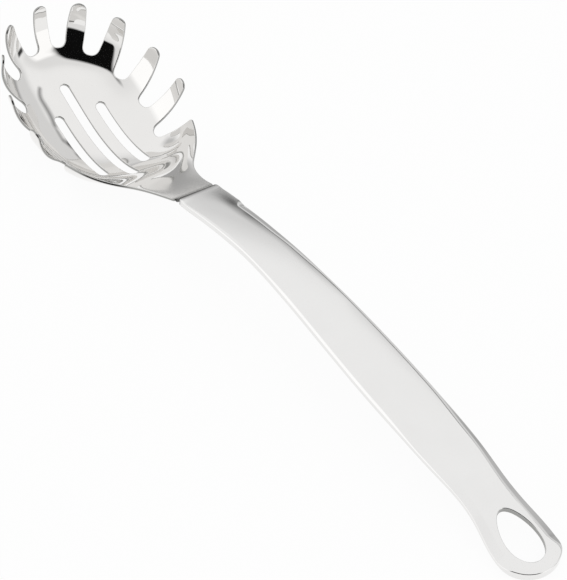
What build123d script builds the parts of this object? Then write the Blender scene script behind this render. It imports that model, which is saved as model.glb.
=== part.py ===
from build123d import *
from math import cos, hypot, radians, sin
import os

# Driving sizes of the pasta server in millimetres, angles in degrees.
# The head is at negative X, the handle runs to positive X, the bowl opens to positive Z.

# Whole tool
overall_length = 336.6
head_sheet = 1.2
handle_sheet = 2.0

# Bowl shape, swept about a crosswise axis above the bowl
bowl_reach = 50.0
bowl_axis_x = bowl_reach - overall_length / 2.0
bowl_axis_height = 49.9
rear_angle = 74.0
front_angle = -98.0
bowl_radii = [82.0, 58.6, 53.2, 49.9, 46.4, 46.4, 50.7, 50.6, 46.7]
bowl_half_widths = [38.0, 38.5, 39.6, 36.1, 24.6]
section_power = 2.84
sheet_side_share = 0.988

# Tines from the middle outwards, as angle about the bowl axis and distance to the side
tine_tips = [(-80.4, 0.0), (-77.4, 17.7), (-67.6, 29.2), (-34.8, 36.4), (12.4, 37.1)]
gap_roots = [(-57.4, 6.2), (-49.3, 17.6), (-30.6, 23.3), (-8.3, 25.4), (11.0, 22.2)]
shoulder_tip = (32.5, 31.9)
tine_width = 7.0
root_radius = 3.1
root_round_share = 0.98
tongue_flare_share = 0.35
tip_cut_drop = 5.0
trim_clearance = 1.45
gap_reach = 14.0
gap_overrun = 16.0
tip_cut_width = 15.0
tip_cut_depth = 6.0
small_angle = 0.5
small_side = 0.4

# Drain slots in the bowl bottom, reaching forwards and back from the bowl's axis
slot_width = 4.5
centre_slot_ahead = 29.7
centre_slot_behind = 28.0
side_slot_ahead = 17.2
side_slot_behind = 20.7
side_slot_offset = 10.5

# Rear rim between the shoulders and the neck, as distance behind and below the bowl's axis
rim_points = [
    (13.2, 32.0),
    (21.2, 33.0),
    (29.2, 34.0),
    (37.2, 34.8),
    (41.2, 33.9),
    (45.2, 30.4),
    (48.2, 24.9),
]
rim_start_side = 11.0

# Sides of the neck, as distance behind the bowl's axis and half width
neck_half_width = 9.9
neck_points = [
    (33.2, 26.6),
    (39.2, 20.6),
    (45.2, 15.7),
    (51.2, 12.8),
    (57.2, 11.1),
    (67.2, neck_half_width),
    (77.2, neck_half_width),
]
side_clear = 60.0

# Joint between head and handle
seam_behind_axis = 66.3
seam_gap = 2.4
seam_rise = 2.552
seam_front = bowl_axis_x + seam_behind_axis
seam_rear = seam_front + seam_gap
bead_inset = 0.7
bead_drop = 0.7
halvings = 40

# Handle blade from the seam to the loop: share of its length, share of the seam's height
handle_end = overall_length / 2.0
loop_length = 35.4
edge_depth = 3.1
blade_top_shares = [
    (0.0, 1.0),
    (0.12329, 1.14583),
    (0.26027, 1.2125),
    (0.47945, 1.10417),
    (0.72603, 0.86667),
    (0.91781, 0.65833),
]
loop_top = [(30.4, 11.2), (15.4, 6.4), (0.0, edge_depth)]

# Blade outline as share of its length and half width, loop outline as distance to the end
blade_outline = [
    (0.0, neck_half_width),
    (0.12329, neck_half_width),
    (0.25479, 10.1),
    (0.32603, 10.6),
    (0.46301, 11.8),
    (0.6, 12.8),
    (0.70411, 13.1),
    (0.80274, 12.9),
    (0.90685, 12.2),
]
loop_outline = [(35.4, 11.1), (28.4, 11.6), (21.4, 12.8), (14.3, 13.7), (6.9, 12.7)]
edge_radius = 2.0
end_inset_share = 0.6

# Egg-shaped hang hole through the loop
hole_to_end = 4.9
hole_length = 22.5
hole_width = 15.0
hole_taper_share = 0.18
hole_points = 24

# Sampling of the bowl surface
rows = 49
columns = 41
side_extent_share = 0.975
surface_tolerance = 0.002


def second_slopes(values):
    """Second slopes of the natural cubic through evenly spaced values."""
    count = len(values)
    upper = [0.0] * count
    right = [0.0] * count
    for i in range(1, count - 1):
        bend = 6.0 * (values[i + 1] - 2.0 * values[i] + values[i - 1])
        pivot = 4.0 - upper[i - 1]
        upper[i] = 1.0 / pivot
        right[i] = (bend - right[i - 1]) / pivot
    slopes = [0.0] * count
    for i in range(count - 2, 0, -1):
        slopes[i] = right[i] - upper[i] * slopes[i + 1]
    return slopes


def through(values, share):
    """Value at a share of the way along a smooth curve through the stations."""
    slopes = second_slopes(values)
    place = min(max(share, 0.0), 1.0) * (len(values) - 1)
    i = min(int(place), len(values) - 2)
    a = i + 1 - place
    b = place - i
    straight = a * values[i] + b * values[i + 1]
    bend = (a**3 - a) * slopes[i] + (b**3 - b) * slopes[i + 1]
    return straight + bend / 6.0


def bowl_point(angle, side, grow=0.0):
    """Point of the bowl's middle surface, or of one grown outwards."""
    share = (angle - rear_angle) / (front_angle - rear_angle)
    radius = through(bowl_radii, share) + grow
    half_width = through(bowl_half_widths, share) + grow
    filled = min(abs(side) / half_width, sheet_side_share)
    shrink = (1.0 - filled**section_power) ** (1.0 / section_power)
    x = bowl_axis_x + radius * shrink * sin(radians(angle))
    z = bowl_axis_height - radius * shrink * cos(radians(angle))
    return Vector(x, side, z)


def outer_grid():
    """Rows of points on the bowl's outer face."""
    grow = head_sheet / 2.0
    grid = []
    for i in range(rows):
        share = i / (rows - 1)
        angle = rear_angle + (front_angle - rear_angle) * share
        half_width = through(bowl_half_widths, share) + grow
        line = []
        for j in range(columns):
            across = 2.0 * j / (columns - 1) - 1.0
            side = half_width * side_extent_share * sin(radians(90.0 * across))
            line.append(bowl_point(angle, side, grow))
        grid.append(line)
    return grid


def tip_plane(tip, roots):
    """Plane of a tine's round end, centred on it and tangent to the wall."""
    end = bowl_point(tip[0], tip[1])
    base = (bowl_point(*roots[0]) + bowl_point(*roots[1])) * 0.5
    along = bowl_point(tip[0] + small_angle, tip[1]) - bowl_point(tip[0] - small_angle, tip[1])
    shift = small_side if tip[1] > 0.0 else 0.0
    across = bowl_point(tip[0], tip[1]) - bowl_point(tip[0], tip[1] - small_side - shift)
    normal = along.cross(across).normalized()
    up = end - base
    up = (up - normal * up.dot(normal)).normalized()
    return Plane(origin=end - up * (tine_width / 2.0), x_dir=up, z_dir=normal)


def gap_frame(root, left_tip, right_tip):
    """Plane of one tine gap, from its root towards the tips."""
    start = bowl_point(root[0], root[1])
    left = bowl_point(left_tip[0], left_tip[1])
    right = bowl_point(right_tip[0], right_tip[1])
    up = ((left + right) * 0.5 - start).normalized()
    across = right - left
    across = (across - up * across.dot(up)).normalized()
    return Plane(origin=start, x_dir=up, z_dir=up.cross(across))


def beyond(start, end, reach):
    """Point on the line from start through end that lies reach past end."""
    length = hypot(end[0] - start[0], end[1] - start[1])
    scale = (length + reach) / length
    return (start[0] + (end[0] - start[0]) * scale, start[1] + (end[1] - start[1]) * scale)


def gap_flanks(frame, left_tip, right_tip, right_width):
    """Corners of a gap in its own plane, running on past the tips."""
    left = frame.to_local_coords(bowl_point(left_tip[0], left_tip[1]))
    right = frame.to_local_coords(bowl_point(right_tip[0], right_tip[1]))
    low = (0.0, -root_radius)
    high = (0.0, root_radius)
    left_top = (left.X - tine_width / 2.0, left.Y + tine_width / 2.0)
    right_top = (right.X - right_width / 2.0, right.Y - right_width / 2.0)
    return [low, beyond(low, left_top, gap_overrun), beyond(high, right_top, gap_overrun), high]


def neck_height(x, grow):
    """Height of a face of the neck tab on the middle line at a given X."""
    low, high = front_angle / 2.0, rear_angle
    for _ in range(halvings):
        middle = (low + high) / 2.0
        if bowl_point(middle, 0.0, grow).X < x:
            low = middle
        else:
            high = middle
    return bowl_point(low, 0.0, grow).Z


# Heights and stations that follow from the bowl
trim_height = max(bowl_point(*tip).Z for tip in tine_tips) + trim_clearance
tab_top = neck_height(seam_front, -head_sheet / 2.0)
tab_bottom = neck_height(seam_front, head_sheet / 2.0)
web_top = tab_top + seam_rise
web_bottom = web_top - handle_sheet
blade_length = handle_end - loop_length - seam_rear
handle_top = [(seam_rear + blade_length * along, web_top * up) for along, up in blade_top_shares]
handle_top += [(handle_end - back, height) for back, height in loop_top]
handle_widths = [(seam_rear + blade_length * along, side) for along, side in blade_outline]
handle_widths += [(handle_end - back, side) for back, side in loop_outline]
rim_line_points = [(bowl_axis_x + behind, bowl_axis_height - below) for behind, below in rim_points]
neck_line_points = [(bowl_axis_x + behind, side) for behind, side in neck_points]
hole_end = handle_end - hole_to_end
hole_start = hole_end - hole_length

bowl_face = Face.make_surface_from_array_of_points(outer_grid(), tol=surface_tolerance, min_deg=3, max_deg=6)

mirrored_roots = [(angle, -side) for angle, side in gap_roots]

# Gaps on the positive side, each between a tine and its outer neighbour
outer_neighbours = tine_tips[1:] + [shoulder_tip]
outer_widths = [tine_width] * (len(tine_tips) - 1) + [0.0]

with BuildPart() as head:
    # Stamped sheet before its openings are cut
    thicken(bowl_face, amount=-head_sheet)
    # Ten gaps that separate the tines and the shoulders
    for root, inner_tip, outer_tip, outer_width in zip(gap_roots, tine_tips, outer_neighbours, outer_widths):
        frame = gap_frame(root, inner_tip, outer_tip)
        corners = gap_flanks(frame, inner_tip, outer_tip, outer_width)
        with BuildSketch(frame) as gap_outline:
            with BuildLine() as gap_line:
                Polyline(*corners, close=True)
            make_face()
            root_corners = gap_outline.vertices().sort_by(Axis.X)[0:2]
            fillet(root_corners, radius=root_radius * root_round_share)
        cutter = extrude(amount=gap_reach, both=True, mode=Mode.PRIVATE)
        add(cutter, mode=Mode.SUBTRACT)
        add(mirror(cutter, about=Plane.XZ, mode=Mode.PRIVATE), mode=Mode.SUBTRACT)
    # Rounded tine tips, each cut round a tongue that widens downwards
    for i, tip in enumerate(tine_tips):
        inner_root = gap_roots[i - 1] if i else mirrored_roots[0]
        tip_radius = tine_width / 2.0
        low_half = tip_radius + tip_cut_drop * tongue_flare_share
        tongue = [(0.0, -tip_radius), (-tip_cut_drop, -low_half), (-tip_cut_drop, low_half), (0.0, tip_radius)]
        with BuildSketch(tip_plane(tip, [inner_root, gap_roots[i]])) as tip_outline:
            Rectangle(gap_overrun, tip_cut_width, align=(Align.MIN, Align.CENTER))
            Rectangle(tip_cut_drop, tip_cut_width, align=(Align.MAX, Align.CENTER))
            Circle(tip_radius, mode=Mode.SUBTRACT)
            Polygon(*tongue, align=None, mode=Mode.SUBTRACT)
        cutter = extrude(amount=tip_cut_depth, both=True, mode=Mode.PRIVATE)
        add(cutter, mode=Mode.SUBTRACT)
        if i:
            add(mirror(cutter, about=Plane.XZ, mode=Mode.PRIVATE), mode=Mode.SUBTRACT)
    # Sheet left above the tine tips
    with BuildSketch(Plane.XY.offset(trim_height)):
        with Locations((bowl_axis_x, 0)):
            Rectangle(side_clear * 2.0, side_clear * 2.0)
    extrude(amount=side_clear, mode=Mode.SUBTRACT)
    # Level rear rims, cut from the side
    rim_plane = Plane(origin=(0, rim_start_side, 0), x_dir=(1, 0, 0), z_dir=(0, -1, 0))
    with BuildSketch(rim_plane) as rim_outline:
        with BuildLine() as rim_line:
            Spline(*rim_line_points)
            Line(rim_line_points[-1], (rim_line_points[-1][0], side_clear))
            Line((rim_line_points[-1][0], side_clear), (rim_line_points[0][0], side_clear))
            Line((rim_line_points[0][0], side_clear), rim_line_points[0])
        make_face()
    rim_cutter = extrude(amount=-side_clear, mode=Mode.PRIVATE)
    add(rim_cutter, mode=Mode.SUBTRACT)
    add(mirror(rim_cutter, about=Plane.XZ, mode=Mode.PRIVATE), mode=Mode.SUBTRACT)
    # Neck sides, cut from above
    with BuildSketch() as neck_outline:
        with BuildLine() as neck_line:
            Spline(*neck_line_points)
            Line(neck_line_points[-1], (neck_line_points[-1][0], side_clear))
            Line((neck_line_points[-1][0], side_clear), (neck_line_points[0][0], side_clear))
            Line((neck_line_points[0][0], side_clear), neck_line_points[0])
        make_face()
    neck_cutter = extrude(amount=side_clear, mode=Mode.PRIVATE)
    add(neck_cutter, mode=Mode.SUBTRACT)
    add(mirror(neck_cutter, about=Plane.XZ, mode=Mode.PRIVATE), mode=Mode.SUBTRACT)
    # Square end of the neck tab
    with BuildSketch():
        with Locations((seam_front, 0)):
            Rectangle(side_clear, side_clear, align=(Align.MIN, Align.CENTER))
    extrude(amount=side_clear, mode=Mode.SUBTRACT)
    # Three drain slots
    slot_length = centre_slot_ahead + centre_slot_behind
    slot_middle = bowl_axis_x + (centre_slot_behind - centre_slot_ahead) / 2.0
    side_slot_length = side_slot_ahead + side_slot_behind
    side_slot_middle = bowl_axis_x + (side_slot_behind - side_slot_ahead) / 2.0
    with BuildSketch() as slots:
        with Locations((slot_middle, 0)):
            SlotOverall(slot_length, slot_width)
        with Locations((side_slot_middle, side_slot_offset), (side_slot_middle, -side_slot_offset)):
            SlotOverall(side_slot_length, slot_width)
    extrude(amount=side_clear, mode=Mode.SUBTRACT)
head.part.label = "head"

# Side band of the handle and the lower band that hollows its underside
lowered = [(x, z - edge_depth) for x, z in handle_top]
web_line = [(x, z - handle_sheet) for x, z in handle_top]
recess_floor = [(x, z - edge_depth * 2.0) for x, z in handle_top]


def half_outline(inset):
    """Side line of the handle from the seam to its end, moved inwards."""
    points = [(x, half_width - inset) for x, half_width in handle_widths]
    return points[:-1] + [(points[-1][0] - inset * end_inset_share, points[-1][1]), (handle_end - inset, 0.0)]


def hole_point(share):
    """Point of the hang hole's outline, a share of the way round."""
    turn = radians(360.0 * share)
    x = (hole_start + hole_end) / 2.0 + (hole_end - hole_start) / 2.0 * cos(turn)
    return (x, hole_width / 2.0 * sin(turn) * (1.0 + hole_taper_share * cos(turn)))


with BuildPart() as recess:
    # Hollow under the web, inside the turned-down edges
    with BuildSketch(Plane.XZ) as recess_band:
        with BuildLine() as recess_side:
            Spline(*web_line)
            Line(web_line[-1], recess_floor[-1])
            Spline(*recess_floor)
            Line(web_line[0], recess_floor[0])
        make_face()
    extrude(amount=side_clear, both=True)
    with BuildSketch() as recess_plan:
        with BuildLine() as recess_line:
            side = half_outline(handle_sheet)
            Spline(*side, tangents=[(1, 0), (0, -1)])
            Line((side[0][0], 0.0), side[0])
            mirror(about=Plane.XZ)
        make_face()
    extrude(amount=side_clear, mode=Mode.INTERSECT)

with BuildPart() as handle:
    # Arched plate with the handle's plan outline
    with BuildSketch(Plane.XZ) as handle_band:
        with BuildLine() as handle_side:
            Spline(*handle_top)
            Line(handle_top[-1], lowered[-1])
            Spline(*lowered)
            Line(handle_top[0], lowered[0])
        make_face()
    extrude(amount=side_clear, both=True)
    with BuildSketch() as handle_plan:
        with BuildLine() as handle_line:
            side = half_outline(0.0)
            Spline(*side, tangents=[(1, 0), (0, -1)])
            Line((side[0][0], 0.0), side[0])
            mirror(about=Plane.XZ)
        make_face()
    extrude(amount=side_clear, mode=Mode.INTERSECT)
    # Rounded shoulders along both sides and round the loop
    top_face = handle.faces().sort_by(Axis.Z)[-1]
    seam_edge = top_face.edges().sort_by(Axis.X)[0]
    fillet([edge for edge in top_face.edges() if edge != seam_edge], radius=edge_radius)
    # Hollow underside
    add(recess.part, mode=Mode.SUBTRACT)
    # Hang hole
    with BuildSketch() as hang_hole:
        with BuildLine() as hole_line:
            Spline(*[hole_point(i / hole_points) for i in range(hole_points)], periodic=True)
        make_face()
    extrude(amount=side_clear, mode=Mode.SUBTRACT)
handle.part.label = "handle"


with BuildPart() as neck_weld:
    # Butt weld between the neck tab and the handle, flush above and beaded below
    with BuildSketch(Plane.XZ) as weld_profile:
        with BuildLine() as weld_line:
            Line((seam_front, tab_bottom), (seam_front, tab_top))
            Line((seam_front, tab_top), (seam_rear, web_top))
            Line((seam_rear, web_top), (seam_rear, web_bottom))
            bead_middle = ((seam_front + seam_rear) / 2.0, (tab_bottom + web_bottom) / 2.0 - bead_drop)
            ThreePointArc((seam_rear, web_bottom), bead_middle, (seam_front, tab_bottom))
        make_face()
    extrude(amount=neck_half_width - bead_inset, both=True)
neck_weld.part.label = "neck_weld"

os.makedirs("parts", exist_ok=True)
export_step(head.part, "parts/head.step")
export_step(neck_weld.part, "parts/neck_weld.step")
export_step(handle.part, "parts/handle.step")

for piece in (head, neck_weld, handle):
    box = piece.part.bounding_box()
    print(piece.part.label, "solids", len(piece.part.solids()), "valid", piece.part.is_valid)
    print("  volume", round(piece.part.volume, 1), "low", box.min, "high", box.max)
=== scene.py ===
# %% [markdown]
# A pasta server of mirror-polished steel, in metres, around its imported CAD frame.
# The real tool is two stampings: a thin sheet head with its bowl and tines, and a
# thicker arched handle, joined by one short weld across the neck.
# A mirror finish shows every flaw of a mesh, so head and handle are built here from
# the same rules as the CAD solids, with exact normals, and the solids stay hidden.

import math

import bpy
import numpy as np
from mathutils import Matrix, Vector
from mathutils.geometry import delaunay_2d_cdt


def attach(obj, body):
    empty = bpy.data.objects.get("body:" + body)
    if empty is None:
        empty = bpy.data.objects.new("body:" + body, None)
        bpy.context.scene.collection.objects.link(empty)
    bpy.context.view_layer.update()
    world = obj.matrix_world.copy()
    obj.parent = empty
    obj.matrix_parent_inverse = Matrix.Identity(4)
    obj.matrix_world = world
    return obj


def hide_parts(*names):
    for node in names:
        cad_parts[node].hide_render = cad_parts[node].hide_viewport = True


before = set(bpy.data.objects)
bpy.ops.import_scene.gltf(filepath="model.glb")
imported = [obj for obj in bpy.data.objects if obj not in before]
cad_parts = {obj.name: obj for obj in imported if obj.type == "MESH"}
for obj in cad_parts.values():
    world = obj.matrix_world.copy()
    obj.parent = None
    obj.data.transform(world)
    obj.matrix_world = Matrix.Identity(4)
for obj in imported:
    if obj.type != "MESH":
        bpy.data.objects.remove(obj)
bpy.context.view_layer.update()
MM = 0.001


# %% [markdown]
# The camera stands in front of the loop, to the side, and looks down along the
# handle to the bowl. A long lens keeps the loop from looking too large, and the
# camera is rolled a little, so the handle falls from top left to bottom right.

# %% Camera
camera_place = (0.53402, -0.48207, 0.62489)
camera_turn = (49.1802, -6.2170, 52.7788)
lens_on_frame_height = 148.97
frame_height = 36.0
clip_start = 0.01


def placed(name, data):
    """A new object with this data, linked to the scene."""
    made = bpy.data.objects.new(name, data)
    bpy.context.scene.collection.objects.link(made)
    return made


camera_data = bpy.data.cameras.new("product_camera")
camera_data.sensor_fit = "VERTICAL"
camera_data.sensor_height = camera_data.sensor_width = frame_height
camera_data.lens = lens_on_frame_height
camera_data.clip_start = clip_start
camera = placed("product_camera", camera_data)
camera.location = camera_place
camera.rotation_euler = [math.radians(angle) for angle in camera_turn]
bpy.context.scene.camera = camera
print("camera at", camera_place, "lens", lens_on_frame_height, "on a frame of", frame_height)


# %% [markdown]
# The bowl is pressed from one sheet. Its middle surface is swept about a crosswise
# axis above the bowl: each angle about that axis has a radius and a half width, and
# the section across is a superellipse, flat at the bottom and steep at the sides.
# Smooth curves through a few stations keep the reflections free of kinks.

# %% Bowl surface
bowl_axis_x = -118.3
bowl_axis_height = 49.9
rear_angle = 74.0
front_angle = -98.0
bowl_radii = np.array([82.0, 58.6, 53.2, 49.9, 46.4, 46.4, 50.7, 50.6, 46.7])
bowl_half_widths = np.array([38.0, 38.5, 39.6, 36.1, 24.6])
section_power = 2.84
sheet_side_share = 0.988


def natural_curve(knots, values):
    """Second slopes of the natural cubic through values at the knots."""
    gap = np.diff(knots)
    matrix = np.eye(len(knots))
    for i in range(1, len(gap)):
        matrix[i, i - 1:i + 2] = gap[i - 1], 2.0 * (gap[i - 1] + gap[i]), gap[i]
    turns = 6.0 * np.diff(np.diff(values) / gap)
    return np.linalg.solve(matrix, np.concatenate([[0.0], turns, [0.0]]))


def on_curve(knots, values, place):
    """Values of the natural cubic at the given places."""
    bends = natural_curve(knots, values)
    place = np.clip(place, knots[0], knots[-1])
    i = np.clip(np.searchsorted(knots, place, side="right") - 1, 0, len(knots) - 2)
    gap = knots[i + 1] - knots[i]
    a = (knots[i + 1] - place) / gap
    b = 1.0 - a
    curved = ((a**3 - a) * bends[i] + (b**3 - b) * bends[i + 1]) * gap**2 / 6.0
    return a * values[i] + b * values[i + 1] + curved


radius_knots = np.linspace(0.0, 1.0, len(bowl_radii))
width_knots = np.linspace(0.0, 1.0, len(bowl_half_widths))
# The flat sheet is laid out for one middle radius and one middle half width
sheet_radius = 50.0
flat_half = 39.0
wall_ratio = 1.3
walk_steps = 4001
arc_scale = math.radians(1.0) * sheet_radius

# Share of the half width against the distance walked along a section
walk_share = np.sin(np.linspace(0.0, math.pi / 2.0, walk_steps)) * sheet_side_share
walk_height = wall_ratio * (1.0 - walk_share**section_power) ** (1.0 / section_power)
walk_pieces = np.hypot(np.diff(walk_share), np.diff(walk_height))
walk_length = np.concatenate([[0.0], np.cumsum(walk_pieces)]) * flat_half
section_reach = walk_length[-1]


def bowl_share(angle):
    """How far along the bowl an angle lies, zero at the rear and one in front."""
    return (angle - rear_angle) / (front_angle - rear_angle)


def bowl_plain(flat):
    """Points of the bowl's middle surface from flat sheet coordinates."""
    angle, v = flat[:, 0] / arc_scale, flat[:, 1]
    radius = on_curve(radius_knots, bowl_radii, bowl_share(angle))
    half_width = on_curve(width_knots, bowl_half_widths, bowl_share(angle))
    filled = np.interp(np.abs(v), walk_length, walk_share)
    shrink = (1.0 - filled**section_power) ** (1.0 / section_power)
    turn = np.radians(angle)
    x = bowl_axis_x + radius * shrink * np.sin(turn)
    z = bowl_axis_height - radius * shrink * np.cos(turn)
    return np.stack([x, np.sign(v) * half_width * filled, z], axis=-1)


sheet_low = np.array([front_angle * arc_scale, -section_reach])
sheet_high = np.array([rear_angle * arc_scale, section_reach])
print("bowl sheet reaches", sheet_low.round(1), sheet_high.round(1), "mm")


# %% [markdown]
# The outline of the head is a set of cuts, as on the real press tool: gaps between
# the tines, round tips, level rear rims, the neck's sides and the drain slots.
# Each cut is a rule that says how far a point is from it, so one function knows
# how much sheet is left anywhere, and its zero line is the head's outline.

# %% Distances to flat shapes
def passed(points, start, end):
    """True for points that have the side from start to end on their right."""
    if start[1] == end[1]:
        return np.zeros(len(points), bool)
    between = (start[1] > points[:, 1]) != (end[1] > points[:, 1])
    edge_x = start[0] + (points[:, 1] - start[1]) * (end[0] - start[0]) / (end[1] - start[1])
    return between & (points[:, 0] < edge_x)


def polygon_distance(points, corners):
    """Signed distance to a closed polygon, negative inside."""
    corners = np.asarray(corners, float)
    best = np.full(len(points), np.inf)
    inside = np.zeros(len(points), bool)
    for start, end in zip(corners, np.roll(corners, -1, axis=0)):
        run = end - start
        off = points - start
        place = np.clip(off @ run / (run @ run), 0.0, 1.0)
        best = np.minimum(best, np.hypot(*(off - place[:, None] * run).T))
        inside ^= passed(points, start, end)
    return np.where(inside, -best, best)


def box_distance(points, low, high):
    """Signed distance to an upright rectangle, negative inside."""
    middle = (np.array(low) + np.array(high)) / 2.0
    half = (np.array(high) - np.array(low)) / 2.0
    off = np.abs(points - middle) - half
    outside = np.hypot(*np.maximum(off, 0.0).T)
    return outside + np.minimum(off.max(axis=1), 0.0)


def smooth_least(a, b, round_size):
    """The smaller of two distances, with the corner between them rounded."""
    blend = np.maximum(round_size - np.abs(a - b), 0.0) / round_size
    return np.minimum(a, b) - blend**2 * round_size / 4.0


def line_through(points, count=120):
    """Dense points of a smooth line through chosen points, spaced by chord."""
    points = np.asarray(points, float)
    chord = np.concatenate([[0.0], np.cumsum(np.hypot(*np.diff(points, axis=0).T))])
    place = np.linspace(0.0, chord[-1], count)
    return np.stack([on_curve(chord, points[:, k], place) for k in range(2)], axis=-1)


# %% Tine, gap and slot sizes
tine_tips = [(-80.4, 0.0), (-77.4, 17.7), (-67.6, 29.2), (-34.8, 36.4), (12.4, 37.1)]
gap_roots = [(-57.4, 6.2), (-49.3, 17.6), (-30.6, 23.3), (-8.3, 25.4), (11.0, 22.2)]
shoulder_tip = (32.5, 31.9)
tine_width = 7.0
tip_radius = tine_width / 2.0
root_radius = 3.1
root_inset = root_radius * 0.98
tongue_flare_share = 0.35
tongue_overrun = 1.0
tip_cut_drop = 5.0
tip_cut_half_width = 7.5
tip_cut_depth = 6.0
tip_probe = (0.5, 0.2)
gap_reach = 14.0
gap_overrun = 16.0
corner_round = 0.9
trim_height = 43.0
seam_front = -52.0
slot_half_width = 2.25
slots = [(-148.0, -90.3, 0.0), (-135.5, -97.6, 10.5), (-135.5, -97.6, -10.5)]
rim_start_side = 11.0
far_side = 90.0


def cut_beyond(points):
    """The area on the far side of a smooth line through points, as a polygon."""
    line = line_through(points)
    return np.vstack([line, [(line[-1, 0], far_side), (line[0, 0], far_side)]])


rim_cut = cut_beyond([
    (-105.1, 17.9), (-97.1, 16.9), (-89.1, 15.9), (-81.1, 15.1), (-77.1, 16.0), (-73.1, 19.5),
    (-70.1, 25.0),
])
neck_cut = cut_beyond([
    (-85.1, 26.6), (-79.1, 20.6), (-73.1, 15.7), (-67.1, 12.8), (-61.1, 11.1), (-51.1, 9.9),
    (-41.1, 9.9),
])
# What stays of a tine's end: a tongue that widens from the round tip downwards
tongue_end = tip_cut_drop + tongue_overrun
tongue_half = tip_radius + tongue_end * tongue_flare_share
tongue = [(tongue_overrun, -tip_radius), (0.0, -tip_radius), (-tongue_end, -tongue_half)]
tongue += [(up, -side) for up, side in tongue[::-1]]
tip_blank = ((-tip_cut_drop, -tip_cut_half_width), (gap_overrun, tip_cut_half_width))
print("tines", 2 * len(tine_tips) - 1, "gaps", 2 * len(gap_roots), "slots", len(slots))


# %% Gap and tip rules
def surface_at(angle, side):
    """Point of the bowl for an angle and a distance to the side."""
    half_width = on_curve(width_knots, bowl_half_widths, np.array([bowl_share(angle)]))[0]
    v = np.interp(abs(side) / half_width, walk_share, walk_length)
    return bowl_plain(np.array([[angle * arc_scale, math.copysign(v, side)]]))[0]


def unit(vector):
    """The same direction with length one, for one vector or for rows of them."""
    return vector / np.linalg.norm(vector, axis=-1, keepdims=True)


def signed_area(loop):
    """Twice the area of a closed loop, positive when it runs counterclockwise."""
    return np.sum(loop[:, 0] * np.roll(loop[:, 1], -1) - np.roll(loop[:, 0], -1) * loop[:, 1])


def gap_rule(root, left_tip, right_tip, right_width):
    """Frame and outline of one tine gap in its own plane."""
    start, left, right = (surface_at(*p) for p in (root, left_tip, right_tip))
    up = unit((left + right) / 2.0 - start)
    across = right - left
    across = unit(across - up * (across @ up))
    local = [np.array([(p - start) @ up, (p - start) @ across]) for p in (left, right)]
    low, high = np.array([0.0, -root_radius]), np.array([0.0, root_radius])
    left_top = local[0] + np.array([-tip_radius, tip_radius])
    right_top = local[1] - np.array([right_width / 2.0, right_width / 2.0])
    far_left = left_top + unit(left_top - low) * gap_overrun
    far_right = right_top + unit(right_top - high) * gap_overrun
    return start, up, across, inset_quad(np.array([low, far_left, far_right, high]), root_inset)


def inset_quad(quad, inset):
    """Corners of a four-sided outline whose sides move inwards."""
    turn = 1.0 if signed_area(quad) > 0.0 else -1.0
    lines = []
    for start, end in zip(quad, np.roll(quad, -1, axis=0)):
        run = unit(end - start)
        lines.append((start + turn * inset * np.array([-run[1], run[0]]), run))
    corners = []
    for (p, d), (q, e) in zip([lines[-1]] + lines[:-1], lines):
        share = np.linalg.solve(np.array([d, -e]).T, q - p)[0]
        corners.append(p + d * share)
    return np.array(corners)


def tip_rule(tip, inner_root, outer_root):
    """Middle, directions and normal of one round tine tip."""
    end = surface_at(*tip)
    base = (surface_at(*inner_root) + surface_at(*outer_root)) / 2.0
    ahead, aside = tip_probe
    along = surface_at(tip[0] + ahead, tip[1]) - surface_at(tip[0] - ahead, tip[1])
    across = surface_at(tip[0], tip[1] + aside) - surface_at(tip[0], tip[1] - aside)
    normal = unit(np.cross(along, across))
    up = end - base
    up = unit(up - normal * (up @ normal))
    return end - up * tip_radius, up, np.cross(normal, up), normal


outer_tips = [(tip, tine_width) for tip in tine_tips[1:]] + [(shoulder_tip, 0.0)]
gap_rules = [
    gap_rule(root, tip, *outer) for root, tip, outer in zip(gap_roots, tine_tips, outer_tips)
]
inner_roots = [(gap_roots[0][0], -gap_roots[0][1])] + gap_roots[:-1]
tip_rules = [tip_rule(*rule) for rule in zip(tine_tips, inner_roots, gap_roots)]
print("gap rules", len(gap_rules), "tip rules", len(tip_rules))


# %% What the cuts leave
def sheet_left(points):
    """Distance from each point to the nearest cut, positive in the sheet."""
    folded = np.column_stack([points[:, 0], np.abs(points[:, 1]), points[:, 2]])
    left = trim_height - points[:, 2]
    for start, up, across, quad in gap_rules:
        off = folded - start
        cut = polygon_distance(np.stack([off @ up, off @ across], axis=-1), quad) - root_inset
        cut = np.maximum(cut, np.abs(off @ np.cross(up, across)) - gap_reach)
        left = smooth_least(left, cut, corner_round)
    for i, (start, up, across, normal) in enumerate(tip_rules):
        for side in (1.0, -1.0) if i else (1.0,):
            off = points * np.array([1.0, side, 1.0]) - start
            flat = np.stack([off @ up, off @ across], axis=-1)
            kept = np.minimum(np.hypot(*flat.T) - tip_radius, polygon_distance(flat, tongue))
            cut = np.maximum(box_distance(flat, *tip_blank), -kept)
            left = np.minimum(left, np.maximum(cut, np.abs(off @ normal) - tip_cut_depth))
    cut = polygon_distance(points[:, [0, 2]], rim_cut)
    cut = np.maximum(cut, rim_start_side - folded[:, 1])
    left = smooth_least(left, cut, corner_round)
    left = smooth_least(left, polygon_distance(folded[:, :2], neck_cut), corner_round)
    left = smooth_least(left, seam_front - points[:, 0], corner_round)
    for front, rear, side in slots:
        place = np.clip(points[:, 0], front + slot_half_width, rear - slot_half_width)
        cut = np.hypot(points[:, 0] - place, points[:, 1] - side) - slot_half_width
        left = np.minimum(left, cut)
    return left


lowest = bowl_plain(np.zeros((1, 2)))
print("lowest point of the bowl to a cut, below zero in a slot", sheet_left(lowest).round(2))


# %% [markdown]
# The zero line is found as a mapmaker finds a contour: a fine grid over the flat
# sheet is walked cell by cell, the crossings are joined into loops, and each point
# is then moved exactly onto the line and spaced evenly.

# %% Contour loops
outside = -1e-3


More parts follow.
